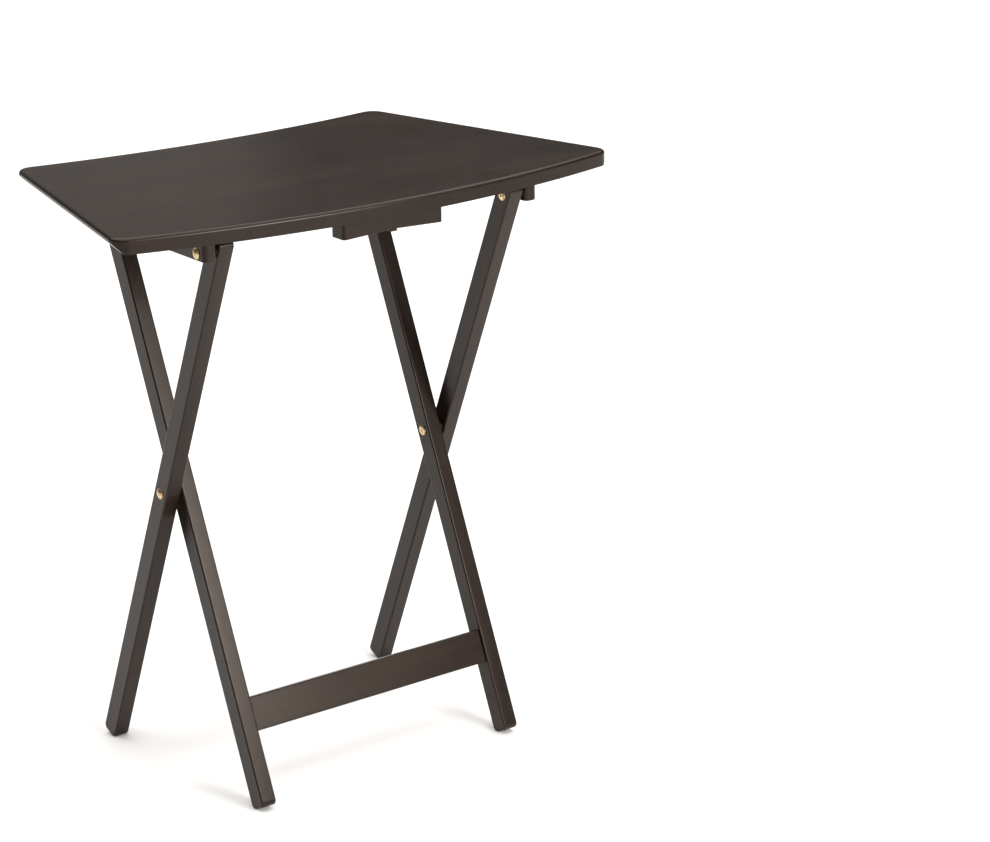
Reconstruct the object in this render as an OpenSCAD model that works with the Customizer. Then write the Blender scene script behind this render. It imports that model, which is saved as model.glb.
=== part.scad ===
// Folding tray table: a flared tray top on two crossed leg frames.
// The top hinges on the outer frame; the inner frame's upper bar sits in a catch under it.

/* [Tray top] */
// overall height of the table, floor to tray face
table_h = 660; // [600:1:720]
// width of the near edge between its square corners
near_w = 636; // [450:1:700]
// width of the far edge between its square corners
far_w = 475; // [350:1:600]
// depth of the straight sides, near corner to far corner
side_depth = 345; // [300:1:450]
// how far the near edge bows out
near_bow = 44; // [5:1:80]
// how far the far edge bows in
far_bow = 22; // [5:1:60]
// radius of the four corners
corner_r = 18; // [10:1:50]
// thickness of the tray board
top_t = 16.5; // [12:0.5:22]
// thickness left at the two sides, where the underside is bevelled away
side_rim = 5; // [3:0.5:12]
// distance from the near corners forward of the crossing pivot
near_reach = 141; // [110:1:180]

/* [Legs] */
// leg thickness, left to right
leg_w = 18.5; // [14:0.5:25]
// leg depth, front to back
leg_d = 23.5; // [18:0.5:35]
// crossing pivot to the foot end of every leg
leg_below = 356; // [280:1:380]
// crossing pivot to the upper end of every leg
leg_above = 336; // [280:1:380]
// lean of each frame from the upright
tilt = 23.1; // [20:0.1:32]
// rounding of the leg ends, seen from the side
end_r = 6; // [2:0.5:9]
// rounding of the long edges of legs and bars
edge_r = 2; // [1:0.5:4]
// centre of the inner legs from the middle of the table
inner_x = 165; // [120:1:200]
// space between neighbouring legs and rails
gap = 2.5; // [2:0.5:5]

/* [Bars between the inner legs] */
// bar thickness, front to back
bar_t = 16; // [12:0.5:20]
// height of the lower stretcher
stretcher_h = 38; // [20:1:50]
// crossing pivot down to the middle of the lower stretcher
stretcher_drop = 256; // [180:1:280]
// height of the upper bar
upper_bar_h = 24; // [15:1:35]
// upper end of the inner legs down to the top of the upper bar
upper_bar_inset = 8; // [0:1:20]
// diameter of the dowels
dowel_d = 8; // [6:1:10]

/* [Under the tray] */
// rail thickness
rail_t = 16; // [12:0.5:20]
// rail height
rail_h = 25; // [20:0.5:40]
// rail length, front to back
rail_l = 270; // [200:1:340]
// rail's near end forward of the upper pivot
rail_reach = 15; // [9:0.5:30]
// rounding of the rails' upright end edges
rail_end_r = 6; // [2:0.5:8]
// length of the front block and of the catch block
block_l = 127; // [80:1:160]
// depth of the front block
block_d = 24; // [15:1:40]
// height of the front block
block_h = 20; // [15:1:30]
// back face of the front block forward of the upper pivot
block_reach = 21.5; // [18:1:40]
// depth of the catch block
catch_d = 50; // [44:1:60]
// height of the catch block
catch_h = 22; // [18:1:30]
// width of the shallow notch in the front block
notch_w = 8; // [4:0.5:12]
// depth of the shallow notch in the front block
notch_d = 2.5; // [1:0.5:5]

/* [Hardware] */
// crossing pivot to the upper pivot, along the outer leg
pivot_up = 322; // [280:1:330]
// bolt shank diameter
bolt_d = 6; // [5:0.5:8]
// bolt and cap nut head diameter
head_d = 12; // [9:0.5:15]
// dome height of the heads on the outer faces
head_t = 2.4; // [1.5:0.1:4]
// height of the flatter cap nuts on the inner faces
nut_t = 1.6; // [1:0.1:2.5]
// cap nut sleeve diameter
sleeve_d = 8; // [7:0.5:10]
// cap nut sleeve length
sleeve_l = 12; // [8:0.5:15]
// washer diameter
washer_d = 15; // [12:0.5:18]
// screw shank diameter
screw_d = 4; // [3:0.5:5]
// screw head diameter
screw_head_d = 8; // [6:0.5:9]
// how far the screws reach into the tray board
screw_bite = 11; // [8:0.5:13]

/* [Hidden] */
$fn = 64;
over = 1;
run = 0.05;
air = 0.4;
head_air = 0.3;

under_z = table_h - top_t;
outer_x = inner_x + leg_w + gap;
rail_x = outer_x + leg_w / 2 + gap + rail_t / 2;
cross_z = (leg_below - end_r) * cos(tilt) + (leg_d / 2 - end_r) * sin(tilt) + end_r;
pivot_y = -pivot_up * sin(tilt);
pivot_z = cross_z + pivot_up * cos(tilt);
upper_bar_s = leg_above - upper_bar_inset - upper_bar_h / 2;

near_y = -near_reach;
far_y = near_y + side_depth;
flare = atan((near_w - far_w) / 2 / side_depth);
near_r = (pow(near_w / 2, 2) + pow(near_bow, 2)) / (2 * near_bow);
far_r = (pow(far_w / 2, 2) + pow(far_bow, 2)) / (2 * far_bow);
near_c = [0, near_y - near_bow + near_r];
far_c = [0, far_y - far_bow + far_r];
side_n = [cos(flare), sin(flare)];
side_d = [-sin(flare), cos(flare)];

// centre of a corner round that touches the side and an arc of radius r about c
function corner_at(p, d, c, r) =
    let(v = p - corner_r * side_n - c, b = v * d, q = v * v - r * r)
    p - corner_r * side_n + d * (-b - sign(b) * -1 * sqrt(b * b - q));
near_k = corner_at([near_w / 2, near_y], side_d, near_c, near_r - corner_r);
far_k = corner_at([far_w / 2, far_y], -side_d, far_c, far_r + corner_r);
near_u = (near_k - near_c) / norm(near_k - near_c);
far_u = (far_c - far_k) / norm(far_c - far_k);
side_a = atan2(side_n[1], side_n[0]);
near_a = atan2(near_u[1], near_u[0]);
far_a = atan2(far_u[1], far_u[0]);

// moves the finished table so that it stands centred on its own bounding box
centre_y = -(near_y - near_bow + far_k[1] + corner_r) / 2;

wood = "#2b201b";
wood_end = "#33271f";
brass = "#a88a4f";
steel = "#9a9a98";

module table_frame() {
    translate([0, centre_y, 0])
        children();
}

module both_sides() {
    children();
    mirror([1, 0, 0])
        children();
}

// a bar of section w by d, rounded along its length, with its middle at the origin
module rounded_box(w, d, h, r) {
    linear_extrude(height = h, center = true)
        union() {
            square([w - 2 * r, d], center = true);
            square([w, d - 2 * r], center = true);
            for (x = [-1, 1], y = [-1, 1])
                translate([x * (w / 2 - r), y * (d / 2 - r)])
                    circle(r = r);
        }
}

// places its children on a leg's own axis: z up the leg from the crossing pivot
module on_leg(lean) {
    translate([0, 0, cross_z])
        rotate([-lean, 0, 0])
            children();
}

// a round piece along X, from x0 to x1
module x_rod(x0, x1, d) {
    translate([x0, 0, 0])
        rotate([0, 90, 0])
            cylinder(h = x1 - x0, d = d);
}

// one leg, standing on its axis, with rounded ends and long edges
module leg_bar() {
    mid = (leg_above - leg_below) / 2;
    len = leg_above + leg_below;
    translate([0, 0, mid])
        intersection() {
            rounded_box(leg_w, leg_d, len + 2 * over, edge_r);
            rotate([0, 90, 0])
                rounded_box(len, leg_d, leg_w + 2 * over, end_r);
        }
}

// dowel holes or dowels in the ends of a bar of the inner frame
module dowel_pair(s, spread, d) {
    for (z = [-1, 1])
        translate([0, 0, s + z * spread])
            x_rod(inner_x - leg_w / 2 - 18, inner_x - leg_w / 2 + 12, d);
}

module inner_leg() {
    difference() {
        translate([inner_x, 0, 0])
            leg_bar();
        x_rod(inner_x - leg_w, inner_x + leg_w, sleeve_d + 2 * run);
        dowel_pair(-stretcher_drop, stretcher_h / 4, dowel_d);
        dowel_pair(upper_bar_s, upper_bar_h / 4, dowel_d);
    }
}

module outer_leg() {
    difference() {
        translate([outer_x, 0, 0])
            leg_bar();
        x_rod(outer_x - leg_w, outer_x + leg_w, bolt_d + 2 * run);
        translate([0, 0, pivot_up]) {
            x_rod(outer_x - leg_w, outer_x + leg_w, bolt_d + 2 * run);
            x_rod(outer_x - leg_w, outer_x - leg_w / 2 + sleeve_l + run, sleeve_d + 2 * run);
        }
    }
}

module inner_leg_right() {
    color(wood) table_frame() on_leg(tilt) inner_leg();
}

module inner_leg_left() {
    color(wood) table_frame() on_leg(tilt) mirror([1, 0, 0]) inner_leg();
}

module outer_leg_right() {
    color(wood) table_frame() on_leg(-tilt) outer_leg();
}

module outer_leg_left() {
    color(wood) table_frame() on_leg(-tilt) mirror([1, 0, 0]) outer_leg();
}

// a flat bar between the inner legs, drilled for its dowels
module frame_bar(s, h) {
    table_frame()
        on_leg(tilt)
            difference() {
                translate([0, 0, s])
                    rotate([0, 90, 0])
                        rounded_box(h, bar_t, 2 * inner_x - leg_w, edge_r);
                both_sides()
                    dowel_pair(s, h / 4, dowel_d);
            }
}

module lower_stretcher() {
    color(wood) frame_bar(-stretcher_drop, stretcher_h);
}

module upper_bar() {
    color(wood) frame_bar(upper_bar_s, upper_bar_h);
}

module stretcher_dowels() {
    color(wood_end)
        table_frame() on_leg(tilt) both_sides()
            dowel_pair(-stretcher_drop, stretcher_h / 4, dowel_d);
}

module upper_bar_dowels() {
    color(wood_end)
        table_frame() on_leg(tilt) both_sides()
            dowel_pair(upper_bar_s, upper_bar_h / 4, dowel_d);
}

// what one corner round takes off, between the directions a0 and a1
module corner_cut(k, a0, a1) {
    steps = 24;
    lap = 3;
    translate(k)
        polygon(concat(
            [for (i = [0:steps]) let(a = a0 - lap + (a1 - a0 + 2 * lap) * i / steps) corner_r * [cos(a), sin(a)]],
            [
                2 * corner_r * [cos(a1 + lap), sin(a1 + lap)],
                3 * corner_r * [cos(a0) + cos(a1), sin(a0) + sin(a1)],
                2 * corner_r * [cos(a0 - lap), sin(a0 - lap)]
            ]
        ));
}

// the board's outline, seen from above
module outline() {
    difference() {
        intersection() {
            translate(near_c)
                circle(r = near_r, $fn = 360);
            polygon([
                [-near_w / 2 - near_bow * tan(flare), near_y - near_bow - over],
                [near_w / 2 + near_bow * tan(flare), near_y - near_bow - over],
                [far_w / 2 - corner_r * tan(flare), far_y + corner_r],
                [-far_w / 2 + corner_r * tan(flare), far_y + corner_r]
            ]);
        }
        translate(far_c)
            circle(r = far_r, $fn = 360);
        both_sides() {
            corner_cut(near_k, near_a, side_a);
            corner_cut(far_k, side_a, far_a);
        }
    }
}

// the bevel under the right-hand side
module side_bevel() {
    drop = top_t - side_rim;
    translate([near_w / 2, near_y, -top_t / 2])
        rotate([0, 0, flare])
            rotate([90, 0, 0])
                linear_extrude(height = 3 * side_depth, center = true)
                    polygon([
                        [-drop - over, -over],
                        [2 * drop, -over],
                        [2 * drop, 3 * drop]
                    ]);
}

module board() {
    difference() {
        linear_extrude(height = top_t, center = true)
            outline();
        both_sides()
            side_bevel();
    }
}

// the places of the screws: [x, y] with the face they enter from below
rail_screws = [for (f = [0.2, 0.52, 0.84]) [rail_x, pivot_y - rail_reach + f * rail_l]];
front_screws = [for (x = [-0.33, 0.33]) [x * block_l, pivot_y - block_reach - block_d / 2]];

// one countersunk screw, its head flush with a face h below the tray
module screw(h, grow) {
    translate([0, 0, under_z - h]) {
        cylinder(h = h + screw_bite + grow, d = screw_d + 2 * grow);
        cylinder(h = 2 + grow, d1 = screw_head_d + 2 * grow, d2 = screw_d + 2 * grow);
    }
}

module screws(places, h, grow = 0) {
    for (p = places)
        translate([p[0], p[1], 0])
            screw(h, grow);
}

module tray_board() {
    color(wood)
        table_frame()
            difference() {
                translate([0, 0, under_z + top_t / 2])
                    board();
                both_sides()
                    screws(rail_screws, rail_h, run);
                screws(front_screws, block_h, run);
                screws(catch_screws, catch_h, run);
            }
}

// one rail under the tray, drilled for the upper pivot bolt
module rail() {
    y0 = pivot_y - rail_reach;
    difference() {
        translate([rail_x, y0 + rail_l / 2, under_z - rail_h / 2])
            rounded_box(rail_t, rail_l, rail_h, rail_end_r);
        translate([0, pivot_y, pivot_z])
            x_rod(rail_x - rail_t, rail_x + rail_t, bolt_d + 2 * run);
        screws(rail_screws, rail_h, run);
    }
}

module rail_right() {
    color(wood) table_frame() rail();
}

module rail_left() {
    color(wood) table_frame() mirror([1, 0, 0]) rail();
}

module rail_screws_right() {
    color(steel) table_frame() screws(rail_screws, rail_h);
}

module rail_screws_left() {
    color(steel) table_frame() mirror([1, 0, 0]) screws(rail_screws, rail_h);
}

module front_block() {
    y = pivot_y - block_reach - block_d / 2;
    color(wood)
        table_frame()
            difference() {
                translate([0, y, under_z - block_h / 2])
                    rounded_box(block_l, block_d, block_h, 4);
                translate([-notch_w / 2, y - block_d, under_z - block_h - over])
                    cube([notch_w, 2 * block_d, notch_d + over]);
                screws(front_screws, block_h, run);
            }
}

module front_block_screws() {
    color(steel) table_frame() screws(front_screws, block_h);
}

// the upper bar's section, seen along X, at the tray's own place
bar_top_s = upper_bar_s + upper_bar_h / 2;
bar_front = [bar_top_s * sin(tilt) - bar_t / 2 * cos(tilt), cross_z + bar_top_s * cos(tilt) + bar_t / 2 * sin(tilt)];
bar_back = [bar_top_s * sin(tilt) + bar_t / 2 * cos(tilt), cross_z + bar_top_s * cos(tilt) - bar_t / 2 * sin(tilt)];
catch_y = bar_front[0] - 16;
catch_screws = [for (x = [-0.33, 0.33]) [x * block_l, bar_back[0] + 11]];

// the notch that the upper bar sits in, open downwards and towards the near edge
module catch_notch() {
    lift = [-air * sin(tilt), air * (1 + cos(tilt))];
    f = bar_front + lift + [-air, 0];
    b = bar_back + [air * cos(tilt), 0] + [air, air];
    d = 40;
    rotate([90, 0, 90])
        linear_extrude(height = block_l + 2 * over, center = true)
            polygon([
                f,
                b,
                b + d * [-sin(tilt), -cos(tilt)],
                f + d * [-sin(60), -cos(60)]
            ]);
}

module catch_block() {
    color(wood)
        table_frame()
            difference() {
                translate([0, catch_y + catch_d / 2, under_z - catch_h / 2])
                    rounded_box(block_l, catch_d, catch_h, 4);
                catch_notch();
                screws(catch_screws, catch_h, run);
            }
}

module catch_block_screws() {
    color(steel) table_frame() screws(catch_screws, catch_h);
}

// a shallow dome, its flat side at x = 0 and its crown at x = h
module dome(d, h) {
    r = (d * d / 4 + h * h) / (2 * h);
    rotate([0, 90, 0])
        rotate_extrude()
            intersection() {
                translate([0, h - r])
                    circle(r = r, $fn = 180);
                square([d, h]);
            }
}

// bolt with its domed head at x1, running inward to x0
module bolt(x0, x1) {
    union() {
        x_rod(x0, x1 + 0.1, bolt_d);
        translate([x1, 0, 0])
            dome(head_d, head_t);
    }
}

// cap nut: a flat dome at x and a sleeve reaching outward over the bolt
module cap_nut(x) {
    difference() {
        union() {
            translate([x, 0, 0])
                mirror([1, 0, 0])
                    dome(head_d, nut_t);
            x_rod(x - 0.1, x + sleeve_l, sleeve_d);
        }
        x_rod(x + 1, x + sleeve_l + over, bolt_d + 2 * run);
    }
}

module washer(x0, x1, hole) {
    difference() {
        x_rod(x0, x1, washer_d);
        x_rod(x0 - over, x1 + over, hole + 0.6);
    }
}

module at_cross() {
    table_frame()
        translate([0, 0, cross_z])
            children();
}

module at_top_pivot() {
    table_frame()
        translate([0, pivot_y, pivot_z])
            children();
}

cross_nut_x = inner_x - leg_w / 2 - head_air;
cross_out_x = outer_x + leg_w / 2;
rail_out_x = rail_x + rail_t / 2 + head_air;
pivot_nut_x = outer_x - leg_w / 2;

module cross_bolt_right() {
    color(brass) at_cross() bolt(cross_nut_x + 2, cross_out_x);
}

module cross_bolt_left() {
    color(brass) at_cross() mirror([1, 0, 0]) bolt(cross_nut_x + 2, cross_out_x);
}

module cross_nut_right() {
    color(brass) at_cross() cap_nut(cross_nut_x);
}

module cross_nut_left() {
    color(brass) at_cross() mirror([1, 0, 0]) cap_nut(cross_nut_x);
}

module cross_washer_right() {
    color(steel) at_cross() washer(outer_x - leg_w / 2 - gap + air, outer_x - leg_w / 2, bolt_d);
}

module cross_washer_left() {
    color(steel)
        at_cross() mirror([1, 0, 0])
            washer(outer_x - leg_w / 2 - gap + air, outer_x - leg_w / 2, bolt_d);
}

module top_bolt_right() {
    color(brass) at_top_pivot() bolt(pivot_nut_x + 1, rail_out_x);
}

module top_bolt_left() {
    color(brass) at_top_pivot() mirror([1, 0, 0]) bolt(pivot_nut_x + 1, rail_out_x);
}

module top_nut_right() {
    color(brass) at_top_pivot() cap_nut(pivot_nut_x);
}

module top_nut_left() {
    color(brass) at_top_pivot() mirror([1, 0, 0]) cap_nut(pivot_nut_x);
}

module top_washer_right() {
    color(steel) at_top_pivot() washer(cross_out_x, cross_out_x + gap - air, bolt_d);
}

module top_washer_left() {
    color(steel)
        at_top_pivot() mirror([1, 0, 0])
            washer(cross_out_x, cross_out_x + gap - air, bolt_d);
}

tray_board();
rail_left();
rail_right();
rail_screws_left();
rail_screws_right();
front_block();
front_block_screws();
catch_block();
catch_block_screws();
inner_leg_left();
inner_leg_right();
lower_stretcher();
upper_bar();
stretcher_dowels();
upper_bar_dowels();
outer_leg_left();
outer_leg_right();
cross_bolt_left();
cross_bolt_right();
cross_nut_left();
cross_nut_right();
cross_washer_left();
cross_washer_right();
top_bolt_left();
top_bolt_right();
top_nut_left();
top_nut_right();
top_washer_left();
top_washer_right();
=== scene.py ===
import math

import bmesh
import bpy
from mathutils import Matrix, Vector


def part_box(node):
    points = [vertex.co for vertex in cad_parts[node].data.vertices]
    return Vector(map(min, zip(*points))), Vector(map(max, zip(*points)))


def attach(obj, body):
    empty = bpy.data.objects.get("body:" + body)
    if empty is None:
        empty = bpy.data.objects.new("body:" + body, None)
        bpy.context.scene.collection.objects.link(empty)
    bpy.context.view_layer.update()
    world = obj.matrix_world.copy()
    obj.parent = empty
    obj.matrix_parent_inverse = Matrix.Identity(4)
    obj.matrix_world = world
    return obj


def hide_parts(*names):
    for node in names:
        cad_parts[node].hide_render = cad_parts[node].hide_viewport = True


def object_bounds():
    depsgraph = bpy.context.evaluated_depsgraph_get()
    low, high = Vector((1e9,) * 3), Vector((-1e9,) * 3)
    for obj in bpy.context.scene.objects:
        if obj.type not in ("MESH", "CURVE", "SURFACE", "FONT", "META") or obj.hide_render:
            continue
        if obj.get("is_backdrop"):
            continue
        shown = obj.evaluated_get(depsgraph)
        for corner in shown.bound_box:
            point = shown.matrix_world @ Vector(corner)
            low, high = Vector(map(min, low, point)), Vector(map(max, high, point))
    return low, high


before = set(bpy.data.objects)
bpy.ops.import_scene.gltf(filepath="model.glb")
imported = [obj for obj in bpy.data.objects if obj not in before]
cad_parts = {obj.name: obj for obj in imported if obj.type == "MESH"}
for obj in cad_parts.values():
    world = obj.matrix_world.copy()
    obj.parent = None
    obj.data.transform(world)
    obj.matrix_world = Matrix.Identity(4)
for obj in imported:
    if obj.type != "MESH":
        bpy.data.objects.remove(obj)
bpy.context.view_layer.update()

# ---------------------------------------------------------------- tray board
# The tray is one flared board, bowed out along the near edge and hollowed along the far one,
# with a soft rim and its underside bevelled away to thin edges at the two sides. It is
# stained very dark brown, grain from side to side, and sprayed with satin lacquer.

NEAR_WIDTH = 0.636
FAR_WIDTH = 0.475
SIDE_DEPTH = 0.345
NEAR_BOW = 0.044
FAR_BOW = 0.022
CORNER_RADIUS = 0.018
SIDE_RIM = 0.005
RIM_ROUND = 0.0036
LOWER_ROUND = 0.0011
UNDER_ROUND = 0.0075


class Term:
    """One value in a finish, so that sums on values are written as sums."""

    def __init__(self, finish, socket):
        self.finish, self.socket = finish, socket

    def sum(self, operation, first, second):
        return self.finish.node("ShaderNodeMath", {"operation": operation}, {0: first, 1: second})

    def __add__(self, other):
        return self.sum("ADD", self, other)

    __radd__ = __add__

    def __sub__(self, other):
        return self.sum("SUBTRACT", self, other)

    def __rsub__(self, other):
        return self.sum("SUBTRACT", other, self)

    def __mul__(self, other):
        return self.sum("MULTIPLY", self, other)

    __rmul__ = __mul__


class Finish:
    """A surface finish: a Principled shader and the nodes that vary it."""

    def __init__(self, name, **constants):
        self.material = bpy.data.materials.new(name)
        self.material.use_nodes = True
        self.tree = self.material.node_tree
        self.shader = self.tree.nodes["Principled BSDF"]
        for socket, value in constants.items():
            self.shader.inputs[socket.replace("_", " ")].default_value = value
        self.place = self.node("ShaderNodeTexCoord", {}, {}, "Object")

    def node(self, kind, settings, sockets, out=0):
        made = self.tree.nodes.new(kind)
        for setting, value in settings.items():
            setattr(made, setting, value)
        for socket, value in sockets.items():
            if isinstance(value, Term):
                self.tree.links.new(value.socket, made.inputs[socket])
            else:
                made.inputs[socket].default_value = value
        return Term(self, made.outputs[out])

    def drive(self, **terms):
        for socket, term in terms.items():
            self.tree.links.new(term.socket, self.shader.inputs[socket.replace("_", " ")])

    def streaks(self, turn, length, width, detail=3.0, shift=0.0):
        """Noise drawn out into streaks of that length and width, along the turned X axis."""
        run = self.node(
            "ShaderNodeMapping",
            {"vector_type": "TEXTURE"},
            {"Vector": self.place, "Location": (shift, shift, shift), "Rotation": turn,
             "Scale": (length, width, width)},
        )
        return self.node("ShaderNodeTexNoise", {}, {"Vector": run, "Scale": 1.0, "Detail": detail})

    def between(self, term, low, high, to_low=0.0, to_high=1.0):
        return self.node(
            "ShaderNodeMapRange", {"clamp": True},
            {"Value": term, 1: low, 2: high, 3: to_low, 4: to_high},
        )

    def blend(self, share, first, second):
        return self.node(
            "ShaderNodeMix", {"data_type": "RGBA"}, {0: share, 6: first, 7: second}, 2
        )


DEEP_STAIN = (0.0066, 0.0038, 0.0029, 1)
WARM_STAIN = (0.0170, 0.0096, 0.0070, 1)
PORE_STAIN = (0.004, 0.0027, 0.0022, 1)


def stained_wood(name, turn, shift):
    """Open-grained hardwood under dark stain and satin lacquer; turn lays the grain."""
    finish = Finish(
        name, IOR=1.33, Specular_Tint=(1.0, 0.90, 0.82, 1), Coat_Roughness=0.20, Coat_IOR=1.35,
        Coat_Tint=(1.0, 0.95, 0.90, 1),
    )
    figure = finish.streaks(turn, 0.42, 0.030, 2.0, shift)
    fibres = finish.streaks(turn, 0.060, 0.0011, 4.0, shift)
    pores = finish.between(finish.streaks(turn, 0.0085, 0.00062, 1.0, shift), 0.60, 0.74)
    cloud = finish.node(
        "ShaderNodeTexNoise", {}, {"Vector": finish.place, "Scale": 9.0, "Detail": 2.0}
    )
    tone = finish.between(0.55 * figure + 0.30 * fibres + 0.15 * cloud, 0.36, 0.64)
    stain = finish.blend(tone, DEEP_STAIN, WARM_STAIN)
    stain = finish.blend(0.65 * pores, stain, PORE_STAIN)
    level = 0.45 * fibres - 0.8 * pores
    bump = finish.node(
        "ShaderNodeBump", {}, {"Strength": 0.35, "Distance": 0.00007, "Height": level}
    )
    finish.drive(
        Base_Color=stain,
        Roughness=0.30 + 0.10 * (cloud - 0.5) + 0.08 * (fibres - 0.5) + 0.12 * pores,
        Coat_Weight=0.05 - 0.04 * pores,
        Normal=bump,
    )
    return finish.material


def corner_centre(on_side, along, inward, arc_centre, arc_radius):
    """Centre of the corner round between a straight side and an arc."""
    start = on_side + inward * CORNER_RADIUS - arc_centre
    half = start.dot(along)
    reach = half * half - start.length_squared + arc_radius * arc_radius
    step = min((-half + math.sqrt(reach), -half - math.sqrt(reach)), key=abs)
    return start + along * step + arc_centre


def swing(work, corner, centre, angle, steps):
    """Draws an arc from a vertex round a centre and gives its last vertex."""
    arc = bmesh.ops.spin(
        work, geom=[corner], cent=(*centre, 0), axis=(0, 0, 1), angle=angle, steps=steps,
        use_merge=False, use_duplicate=False,
    )
    return next(part for part in arc["geom_last"] if isinstance(part, bmesh.types.BMVert))


def round_edges(work, edges, radius, segments):
    """Rounds the edges, and gives the faces of the rounds."""
    rounded = bmesh.ops.bevel(
        work, geom=list(edges), offset=radius, offset_type="OFFSET", segments=segments,
        profile=0.5, affect="EDGES", material=-1, clamp_overlap=True,
    )
    return rounded["faces"]


def sharp_edges(work, least=50):
    return [
        edge for edge in work.edges
        if edge.is_manifold and edge.calc_face_angle(0) > math.radians(least)
    ]


def piece(work, name, material, body, stands_for=()):
    """Makes a finished mesh a piece of the table, riding on its body."""
    bmesh.ops.remove_doubles(work, verts=work.verts, dist=1e-6)
    bmesh.ops.recalc_face_normals(work, faces=work.faces)
    mesh = bpy.data.meshes.new(name)
    work.to_mesh(mesh)
    work.free()
    mesh.shade_smooth()
    mesh.set_sharp_from_angle(angle=math.radians(40))
    mesh.materials.append(material)
    made = bpy.data.objects.new(name, mesh)
    bpy.context.scene.collection.objects.link(made)
    shading = made.modifiers.new("even_shading", "WEIGHTED_NORMAL")
    shading.weight = 100
    shading.keep_sharp = True
    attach(made, body)
    if stands_for:
        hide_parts(*stands_for)
    return made


low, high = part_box("tray_board")
near_line = low.y + NEAR_BOW
far_line = near_line + SIDE_DEPTH
near_radius = ((NEAR_WIDTH / 2) ** 2 + NEAR_BOW**2) / (2 * NEAR_BOW)
far_radius = ((FAR_WIDTH / 2) ** 2 + FAR_BOW**2) / (2 * FAR_BOW)
near_centre = Vector((0, low.y + near_radius))
far_centre = Vector((0, far_line - FAR_BOW + far_radius))
near_corner, far_corner = Vector((NEAR_WIDTH / 2, near_line)), Vector((FAR_WIDTH / 2, far_line))
along_side = (far_corner - near_corner).normalized()
inward = Vector((-along_side.y, along_side.x))
near_round = corner_centre(
    near_corner, along_side, inward, near_centre, near_radius - CORNER_RADIUS
)
far_round = corner_centre(far_corner, -along_side, inward, far_centre, far_radius + CORNER_RADIUS)


def bearing(way):
    return math.atan2(way.y, way.x)


near_bearing = bearing(near_round - near_centre)
side_bearing = bearing(-inward)
far_bearing = bearing(far_centre - far_round)

tray = bmesh.new()
outline = bmesh.ops.create_vert(tray, co=(0, low.y, 0))["vert"][0]
outline = swing(tray, outline, near_centre, near_bearing + math.pi / 2, 44)
outline = swing(tray, outline, near_round, side_bearing - near_bearing, 14)
side_end = far_round - inward * CORNER_RADIUS
side = bmesh.ops.extrude_vert_indiv(tray, verts=[outline])["verts"][0]
side.co = (*side_end, 0)
outline = swing(tray, side, far_round, far_bearing - side_bearing, 14)
outline = swing(tray, outline, far_centre, -(far_bearing - math.pi / 2), 40)
bmesh.ops.mirror(tray, geom=tray.verts[:] + tray.edges[:], axis="X", merge_dist=1e-5)
bmesh.ops.remove_doubles(tray, verts=tray.verts, dist=1e-5)
bmesh.ops.contextual_create(tray, geom=tray.edges[:])
bmesh.ops.translate(tray, verts=tray.verts, vec=(0, 0, low.z))
raised = bmesh.ops.extrude_face_region(tray, geom=tray.faces[:])
bmesh.ops.translate(
    tray,
    verts=[part for part in raised["geom"] if isinstance(part, bmesh.types.BMVert)],
    vec=(0, 0, high.z - low.z),
)
for way in (1, -1):
    bmesh.ops.bisect_plane(
        tray, geom=tray.verts[:] + tray.edges[:] + tray.faces[:], dist=1e-6,
        plane_co=(way * NEAR_WIDTH / 2, near_line, high.z - SIDE_RIM),
        plane_no=(-way * inward.x, -inward.y, -1), clear_outer=True,
    )
    bmesh.ops.contextual_create(tray, geom=[edge for edge in tray.edges if edge.is_boundary])
bmesh.ops.recalc_face_normals(tray, faces=tray.faces)
under_side = [
    edge for edge in tray.edges
    if edge.is_manifold and edge.calc_length() > SIDE_DEPTH / 2
    and max(vert.co.z for vert in edge.verts) < low.z + 1e-5
]
round_edges(tray, under_side, UNDER_ROUND, 8)
bmesh.ops.recalc_face_normals(tray, faces=tray.faces)
upper_rim = [
    edge for edge in sharp_edges(tray, 80) if min(vert.co.z for vert in edge.verts) > high.z - 1e-5
]
round_edges(tray, upper_rim, RIM_ROUND, 6)
lower_rim_edges = [
    edge for edge in sharp_edges(tray, 35)
    if max(vert.co.z for vert in edge.verts) < high.z - SIDE_RIM + 1e-4
]
round_edges(tray, lower_rim_edges, LOWER_ROUND, 3)
piece(tray, "tray_top", stained_wood("tray_stain", (0, 0, 0), 0.0), "tray",
      ["tray_board"])

# ---------------------------------------------------------------- rails
# Two straight wooden rails are screwed up into the underside of the tray, one outside each
# outer leg. Their upright end edges are well rounded, and the tray hinges on a bolt through
# each near end. They are stained with the board, with the grain along them.

RAIL_END_ROUND = 0.0058
EASED_EDGE = 0.0012
ALONG_Y = (0, 0, math.pi / 2)


def block(low, high):
    """A plain block between two corners, ready to be shaped."""
    work = bmesh.new()
    bmesh.ops.create_cube(work, size=1)
    bmesh.ops.scale(work, vec=high - low, verts=work.verts)
    bmesh.ops.translate(work, vec=(low + high) / 2, verts=work.verts)
    return work


def edges_along(work, axis):
    """The straight edges of a block that run along one axis of the frame."""
    return [
        edge for edge in work.edges
        if abs((edge.verts[1].co - edge.verts[0].co).normalized()[axis]) > 0.999
    ]


def lower_rim(work, level):
    """The sharp edges that lie round the lowest face."""
    return [
        edge for edge in sharp_edges(work)
        if all(vert.co.z < level + 1e-5 for vert in edge.verts)
    ]


for side, shift in (("left", 0.31), ("right", 0.67)):
    low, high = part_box("rail_" + side)
    rail = block(low, high)
    round_edges(rail, edges_along(rail, 2), RAIL_END_ROUND, 8)
    round_edges(rail, lower_rim(rail, low.z), EASED_EDGE, 3)
    piece(rail, "tray_rail_" + side, stained_wood("rail_stain_" + side, ALONG_Y, shift),
          "tray", ["rail_" + side])

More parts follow.
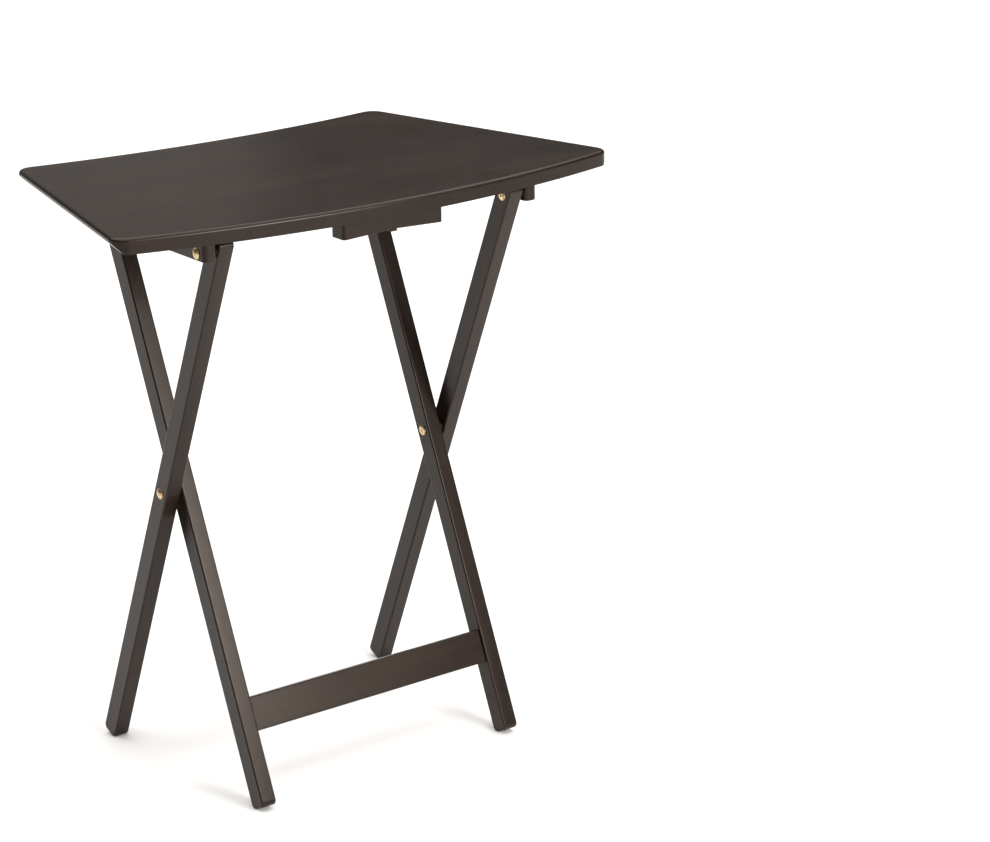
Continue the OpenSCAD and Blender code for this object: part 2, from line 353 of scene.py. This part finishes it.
# ---------------------------------------------------------------- front block
# A short wooden block is screwed under the middle of the near edge. A shallow notch crosses
# the middle of its lower face, and its upright corners are rounded.

NOTCH_WIDTH = 0.008
NOTCH_DEPTH = 0.0025
BLOCK_CORNER = 0.0038

low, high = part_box("front_block")
front = bmesh.new()
half_notch = NOTCH_WIDTH / 2
face_outline = [
    (low.x, low.z), (-half_notch, low.z), (-half_notch, low.z + NOTCH_DEPTH),
    (half_notch, low.z + NOTCH_DEPTH), (half_notch, low.z), (high.x, low.z),
    (high.x, high.z), (low.x, high.z),
]
for x, z in face_outline:
    bmesh.ops.create_vert(front, co=(x, low.y, z))
face = bmesh.ops.contextual_create(front, geom=front.verts[:])["faces"]
pulled = bmesh.ops.extrude_face_region(front, geom=face)
bmesh.ops.translate(
    front,
    verts=[part for part in pulled["geom"] if isinstance(part, bmesh.types.BMVert)],
    vec=(0, high.y - low.y, 0),
)
bmesh.ops.recalc_face_normals(front, faces=front.faces)
ends = [edge for edge in edges_along(front, 2) if abs(edge.verts[0].co.x) > half_notch + 1e-4]
round_edges(front, ends, BLOCK_CORNER, 6)
round_edges(front, lower_rim(front, low.z + NOTCH_DEPTH), 0.0007, 2)
piece(front, "front_rest", stained_wood("front_stain", (0, 0, 0), 0.83), "tray",
      ["front_block"])

# ---------------------------------------------------------------- catch block
# The catch block is screwed under the far half of the tray. The sloping notch across it
# takes the upper bar of the inner legs and holds the table open. It is stained like the rest.

catch_stain = stained_wood("catch_stain", (0, 0, 0), 0.52)
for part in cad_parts["catch_block"].material_slots:
    part.material = catch_stain

# ---------------------------------------------------------------- legs
# Four straight bars of solid wood make two crossed frames, the inner pair leaning away
# from the near edge at the top and the outer pair leaning towards it. Each bar has its
# ends rounded from side to side, its long edges eased, and the grain running along it.

LEAN = math.radians(23.1)
LEG_BELOW = 0.356
LEG_ABOVE = 0.336
LEG_WIDTH = 0.0185
LEG_DEPTH = 0.0235
LEG_END_ROUND = 0.006
LEG_EDGE_ROUND = 0.0019

low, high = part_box("cross_bolt_right")
crossing = Vector((0, (low.y + high.y) / 2, (low.z + high.z) / 2))


def stand(work, lean):
    """Turns a bar made upright about the crossing bolt and puts it in its place."""
    bmesh.ops.rotate(work, verts=work.verts, cent=(0, 0, 0), matrix=Matrix.Rotation(-lean, 3, "X"))
    bmesh.ops.translate(work, verts=work.verts, vec=crossing)


def leg_grain(lean):
    return (Matrix.Rotation(-lean, 3, "X") @ Matrix.Rotation(-math.pi / 2, 3, "Y")).to_euler()


for pair, lean, body in (("inner", LEAN, "inner_frame"), ("outer", -LEAN, "outer_frame")):
    for side, shift in (("left", 0.13), ("right", 0.41)):
        node = f"{pair}_leg_{side}"
        low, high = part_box(node)
        middle = (low.x + high.x) / 2
        leg = block(
            Vector((middle - LEG_WIDTH / 2, -LEG_DEPTH / 2, -LEG_BELOW)),
            Vector((middle + LEG_WIDTH / 2, LEG_DEPTH / 2, LEG_ABOVE)),
        )
        round_edges(leg, edges_along(leg, 0), LEG_END_ROUND, 8)
        bmesh.ops.recalc_face_normals(leg, faces=leg.faces)
        round_edges(leg, sharp_edges(leg, 80), LEG_EDGE_ROUND, 4)
        stand(leg, lean)
        stain = stained_wood(f"{node}_stain", leg_grain(lean), shift + len(pair) * lean)
        piece(leg, f"{pair}_bar_{side}", stain, body, [node])

# ---------------------------------------------------------------- bars between the legs
# A deep lower stretcher and a slimmer upper bar join the inner legs. Each is a flat bar,
# dowelled and glued between them, with its long edges eased. The dowels don't show.

BAR_THICKNESS = 0.016
BAR_EDGE_ROUND = 0.0019
STRETCHER_MIDDLE, STRETCHER_HEIGHT = -0.256, 0.038
HIGH_BAR_MIDDLE, HIGH_BAR_HEIGHT = 0.316, 0.024

for node, name, middle, height, shift in (
    ("lower_stretcher", "low_stretcher", STRETCHER_MIDDLE, STRETCHER_HEIGHT, 0.21),
    ("upper_bar", "high_bar", HIGH_BAR_MIDDLE, HIGH_BAR_HEIGHT, 0.77),
):
    low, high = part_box(node)
    bar = block(
        Vector((low.x, -BAR_THICKNESS / 2, middle - height / 2)),
        Vector((high.x, BAR_THICKNESS / 2, middle + height / 2)),
    )
    round_edges(bar, edges_along(bar, 0), BAR_EDGE_ROUND, 4)
    stand(bar, LEAN)
    piece(bar, name, stained_wood(node + "_stain", (0, 0, 0), shift), "inner_frame",
          [node])

dowel_finish = Finish("dowel_wood", IOR=1.45)
dowel_grain = dowel_finish.streaks((0, 0, 0), 0.03, 0.0008)
dowel_finish.drive(
    Base_Color=dowel_finish.blend(dowel_grain, (0.30, 0.19, 0.10, 1), (0.55, 0.40, 0.25, 1)),
    Roughness=0.55 + 0.2 * dowel_grain,
)
for node in ("stretcher_dowels", "upper_bar_dowels"):
    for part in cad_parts[node].material_slots:
        part.material = dowel_finish.material

# ---------------------------------------------------------------- bolts
# Brass-plated bolts with low domed heads run in from the outer faces: one through each
# crossing of the legs and one through each rail into the outer leg. The heads are pressed,
# with a thin rolled rim, and lightly brushed and tarnished by handling.

HEAD_RADIUS = 0.006
HEAD_HEIGHT = 0.0024
RIM_HEIGHT = 0.0004
SHANK_RADIUS = 0.003
ROUND_STEPS = 48


def brass(name):
    finish = Finish(name, Metallic=1.0, IOR=1.5)
    brushed = finish.streaks((0, 0, 0), 0.0004, 0.0004, 2.0)
    tarnish = finish.between(
        finish.node(
            "ShaderNodeTexNoise", {}, {"Vector": finish.place, "Scale": 420.0, "Detail": 3.0}
        ),
        0.38, 0.66,
    )
    worn = finish.blend(tarnish, (0.46, 0.32, 0.15, 1), (0.83, 0.66, 0.40, 1))
    finish.drive(
        Base_Color=worn,
        Roughness=0.34 - 0.12 * tarnish + 0.06 * brushed,
        Normal=finish.node(
            "ShaderNodeBump", {}, {"Strength": 0.25, "Distance": 0.00008, "Height": brushed}
        ),
    )
    return finish.material


bolt_brass = brass("bolt_brass")


def turned(dome_centre, dome_start, dome_angle, rest):
    """A turned part about the X axis: a domed face drawn as an arc, then straight steps."""
    work = bmesh.new()
    crown = bmesh.ops.create_vert(work, co=dome_start)["vert"][0]
    arc = bmesh.ops.spin(
        work, geom=[crown], cent=dome_centre, axis=(0, 1, 0), angle=dome_angle, steps=9,
        use_merge=False, use_duplicate=False,
    )
    last = next(part for part in arc["geom_last"] if isinstance(part, bmesh.types.BMVert))
    for place in rest:
        last = bmesh.ops.extrude_vert_indiv(work, verts=[last])["verts"][0]
        last.co = place
    bmesh.ops.spin(
        work, geom=work.verts[:] + work.edges[:], cent=(0, 0, 0), axis=(1, 0, 0),
        angle=2 * math.pi, steps=ROUND_STEPS, use_merge=True, use_duplicate=False,
    )
    bmesh.ops.remove_doubles(work, verts=work.verts, dist=1e-6)
    return work


def dome_parts(height, radius, base):
    """Centre, crown and angle of a dome of that height and radius on a flat base at X = base."""
    ball = (radius * radius + height * height) / (2 * height)
    return (base + height - ball, 0, 0), (base + height, 0, 0), math.asin(radius / ball)


def set_in_place(work, node, side):
    """Puts a part turned for the right-hand side where its own node is."""
    low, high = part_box(node)
    if side == "left":
        bmesh.ops.scale(work, vec=(-1, 1, 1), verts=work.verts)
    bmesh.ops.translate(work, verts=work.verts, vec=(0, (low.y + high.y) / 2, (low.z + high.z) / 2))


for place in ("cross", "top"):
    for side in ("left", "right"):
        node = f"{place}_bolt_{side}"
        low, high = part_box(node)
        inner = min(abs(low.x), abs(high.x))
        outer = max(abs(low.x), abs(high.x))
        seat = outer - HEAD_HEIGHT
        centre, crown, angle = dome_parts(
            HEAD_HEIGHT - RIM_HEIGHT, HEAD_RADIUS - 0.0003, seat + RIM_HEIGHT
        )
        bolt = turned(
            centre, crown, angle,
            [(seat + RIM_HEIGHT, 0, HEAD_RADIUS), (seat, 0, HEAD_RADIUS), (seat, 0, SHANK_RADIUS),
             (inner, 0, SHANK_RADIUS), (inner, 0, 0)],
        )
        set_in_place(bolt, node, side)
        piece(bolt, f"{place}_rivet_{side}", bolt_brass, "outer_frame", [node])

# ---------------------------------------------------------------- cap nuts
# On the inner faces each bolt ends in a flatter brass cap nut, its sleeve sunk in the leg.
# A small round recess in the middle of the cap takes the key that tightens it.

NUT_HEIGHT = 0.0016
RECESS_RADIUS = 0.0016
RECESS_DEPTH = 0.0008
SLEEVE_RADIUS = 0.004

for place in ("cross", "top"):
    for side in ("left", "right"):
        node = f"{place}_nut_{side}"
        low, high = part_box(node)
        inner = min(abs(low.x), abs(high.x))
        outer = max(abs(low.x), abs(high.x))
        seat = inner + NUT_HEIGHT
        nut = bmesh.new()
        last = bmesh.ops.create_vert(nut, co=(inner + RECESS_DEPTH, 0, 0))["vert"][0]
        for spot in (
            (inner + RECESS_DEPTH, 0, RECESS_RADIUS - 0.0002), (inner + 0.00015, 0, RECESS_RADIUS),
            (inner, 0, RECESS_RADIUS + 0.0003), (inner + 0.00012, 0, 0.0032),
            (inner + 0.00045, 0, 0.0045), (inner + 0.00085, 0, 0.0055),
            (seat - 0.0003, 0, HEAD_RADIUS), (seat, 0, HEAD_RADIUS),
            (seat, 0, SLEEVE_RADIUS), (outer, 0, SLEEVE_RADIUS), (outer, 0, 0),
        ):
            last = bmesh.ops.extrude_vert_indiv(nut, verts=[last])["verts"][0]
            last.co = spot
        bmesh.ops.spin(
            nut, geom=nut.verts[:] + nut.edges[:], cent=(0, 0, 0), axis=(1, 0, 0),
            angle=2 * math.pi, steps=ROUND_STEPS, use_merge=True, use_duplicate=False,
        )
        set_in_place(nut, node, side)
        piece(nut, f"{place}_cap_{side}", bolt_brass, "outer_frame", [node])

# ---------------------------------------------------------------- washers and screws
# Thin plated washers keep the legs and rails apart at every bolt. Countersunk cross-head
# wood screws, zinc plated, hold the rails and the two blocks to the tray from below.

plate = Finish("zinc_plate", Metallic=1.0, IOR=1.5)
speckle = plate.node(
    "ShaderNodeTexNoise", {}, {"Vector": plate.place, "Scale": 900.0, "Detail": 2.0}
)
plate.drive(
    Base_Color=plate.blend(speckle, (0.48, 0.47, 0.45, 1), (0.66, 0.65, 0.62, 1)),
    Roughness=0.28 + 0.18 * speckle,
)
for place in ("cross", "top"):
    for side in ("left", "right"):
        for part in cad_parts[f"{place}_washer_{side}"].material_slots:
            part.material = plate.material

CROSS_STOPS = (-0.0024, -0.0017, -0.00045, 0.00045, 0.0017, 0.0024)
SCREW_HEAD_RADIUS = 0.004
SCREW_SHANK_RADIUS = 0.002
CROSS_DEPTH = 0.0011


def screw_at(work, x, y, face, tip):
    """One screw, driven up from the face, added to a mesh."""
    made = bmesh.new()
    bmesh.ops.create_grid(made, x_segments=5, y_segments=5, size=1)
    for vert in made.verts:
        vert.co.x = CROSS_STOPS[round((vert.co.x + 1) * 2.5)]
        vert.co.y = CROSS_STOPS[round((vert.co.y + 1) * 2.5)]
    slots = [
        patch for patch in made.faces
        if min(abs(patch.calc_center_median().x), abs(patch.calc_center_median().y)) < 0.0001
        and max(abs(patch.calc_center_median().x), abs(patch.calc_center_median().y)) < 0.0015
    ]
    rim = [edge for edge in made.edges if edge.is_boundary]
    ring = bmesh.ops.create_circle(made, segments=20, radius=SCREW_HEAD_RADIUS - 0.0002)["verts"]
    ring_edges = list({edge for vert in ring for edge in vert.link_edges})
    bmesh.ops.bridge_loops(made, edges=rim + ring_edges)
    sunk = bmesh.ops.extrude_face_region(made, geom=slots)
    bmesh.ops.translate(
        made, verts=[part for part in sunk["geom"] if isinstance(part, bmesh.types.BMVert)],
        vec=(0, 0, CROSS_DEPTH),
    )
    bmesh.ops.delete(made, geom=slots, context="FACES")
    for radius, level in (
        (SCREW_HEAD_RADIUS, 0.0002), (SCREW_SHANK_RADIUS, 0.0020),
        (SCREW_SHANK_RADIUS, tip - face - 0.002), (0.0004, tip - face),
    ):
        outer_loop = [edge for edge in made.edges if edge.is_boundary]
        grown = bmesh.ops.extrude_edge_only(made, edges=outer_loop)
        moved = [part for part in grown["geom"] if isinstance(part, bmesh.types.BMVert)]
        for vert in moved:
            across = math.hypot(vert.co.x, vert.co.y)
            vert.co = (vert.co.x * radius / across, vert.co.y * radius / across, level)
    bmesh.ops.contextual_create(made, geom=[edge for edge in made.edges if edge.is_boundary])
    bmesh.ops.translate(made, verts=made.verts, vec=(x, y, face))
    mesh = bpy.data.meshes.new("one_screw")
    made.to_mesh(mesh)
    made.free()
    work.from_mesh(mesh)
    bpy.data.meshes.remove(mesh)


for node, count in (
    ("rail_screws_left", 3), ("rail_screws_right", 3),
    ("front_block_screws", 2), ("catch_block_screws", 2),
):
    low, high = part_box(node)
    first, last = low + Vector((SCREW_HEAD_RADIUS,) * 3), high - Vector((SCREW_HEAD_RADIUS,) * 3)
    screws = bmesh.new()
    for number in range(count):
        share = number / (count - 1)
        spot = first.lerp(last, share)
        screw_at(screws, spot.x, spot.y, low.z, high.z)
    piece(screws, node.replace("_screws", "_fixings"), plate.material, "tray",
          [node])

# ---------------------------------------------------------------- studio
# The table stands on a plain white floor, under a wide overhead light, with a bright
# softbox towards its near side, a dim one beyond its far side and a faint fill all round.

floor_work = bmesh.new()
bmesh.ops.create_grid(floor_work, x_segments=1, y_segments=1, size=30)
floor_mesh = bpy.data.meshes.new("studio_floor")
floor_work.to_mesh(floor_mesh)
floor_work.free()
floor = bpy.data.objects.new("studio_floor", floor_mesh)
bpy.context.scene.collection.objects.link(floor)
floor_finish = Finish("floor_paint", Base_Color=(0.90, 0.90, 0.90, 1), Roughness=0.9)
floor_finish.shader.inputs["Specular IOR Level"].default_value = 0.1
floor_mesh.materials.append(floor_finish.material)
floor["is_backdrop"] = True

world = bpy.data.worlds.new("studio_air")
world.use_nodes = True
world.node_tree.nodes["Background"].inputs["Color"].default_value = (1.0, 0.985, 0.97, 1)
world.node_tree.nodes["Background"].inputs["Strength"].default_value = 0.06
bpy.context.scene.world = world


def softbox(name, place, aim, width, height, radiance, warmth=(1, 1, 1)):
    light = bpy.data.lights.new(name, "AREA")
    light.shape, light.size, light.size_y = "RECTANGLE", width, height
    light.energy = radiance * math.pi * width * height
    light.color = warmth
    made = bpy.data.objects.new(name, light)
    made.location = place
    made.rotation_mode = "QUATERNION"
    made.rotation_quaternion = (Vector(aim) - Vector(place)).to_track_quat("-Z", "Y")
    made.visible_camera = False
    bpy.context.scene.collection.objects.link(made)


softbox("overhead", (1.0, 1.6, 6.0), (1.0, 1.6, 0), 12, 12, 2.55, (1, 0.98, 0.95))
softbox("near_softbox", (0.45, -2.15, 1.12), (-0.1, 0, 0.4), 1.0, 0.80, 22.0, (1, 0.97, 0.94))
softbox("far_softbox", (0.75, 3.0, 1.05), (0.0, 0.0, 0.7), 2.0, 1.15, 0.26, (1, 0.95, 0.88))

# ---------------------------------------------------------------- camera
# The camera looks down on the table from the near left, from far off with a long lens.

low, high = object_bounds()
look_at = (low + high) / 2 + Vector((0.1673, -0.1300, 0.0390))
CAMERA_AZIMUTH, CAMERA_ELEVATION, CAMERA_ROLL = map(math.radians, (-37.263, 17.894, -0.641))
CAMERA_DISTANCE = 3.3275

lens = bpy.data.cameras.new("camera")
lens.lens, lens.sensor_width = 108.62, 36
lens.clip_start, lens.clip_end = 0.1, 100
camera = bpy.data.objects.new("camera", lens)
turn = (
    Matrix.Rotation(CAMERA_AZIMUTH, 3, "Z")
    @ Matrix.Rotation(math.pi / 2 - CAMERA_ELEVATION, 3, "X")
    @ Matrix.Rotation(CAMERA_ROLL, 3, "Z")
)
camera.rotation_mode = "QUATERNION"
camera.rotation_quaternion = turn.to_quaternion()
camera.location = look_at + turn @ Vector((0, 0, CAMERA_DISTANCE))
bpy.context.scene.collection.objects.link(camera)
bpy.context.scene.camera = camera
bpy.context.scene.view_settings.view_transform = "Standard"
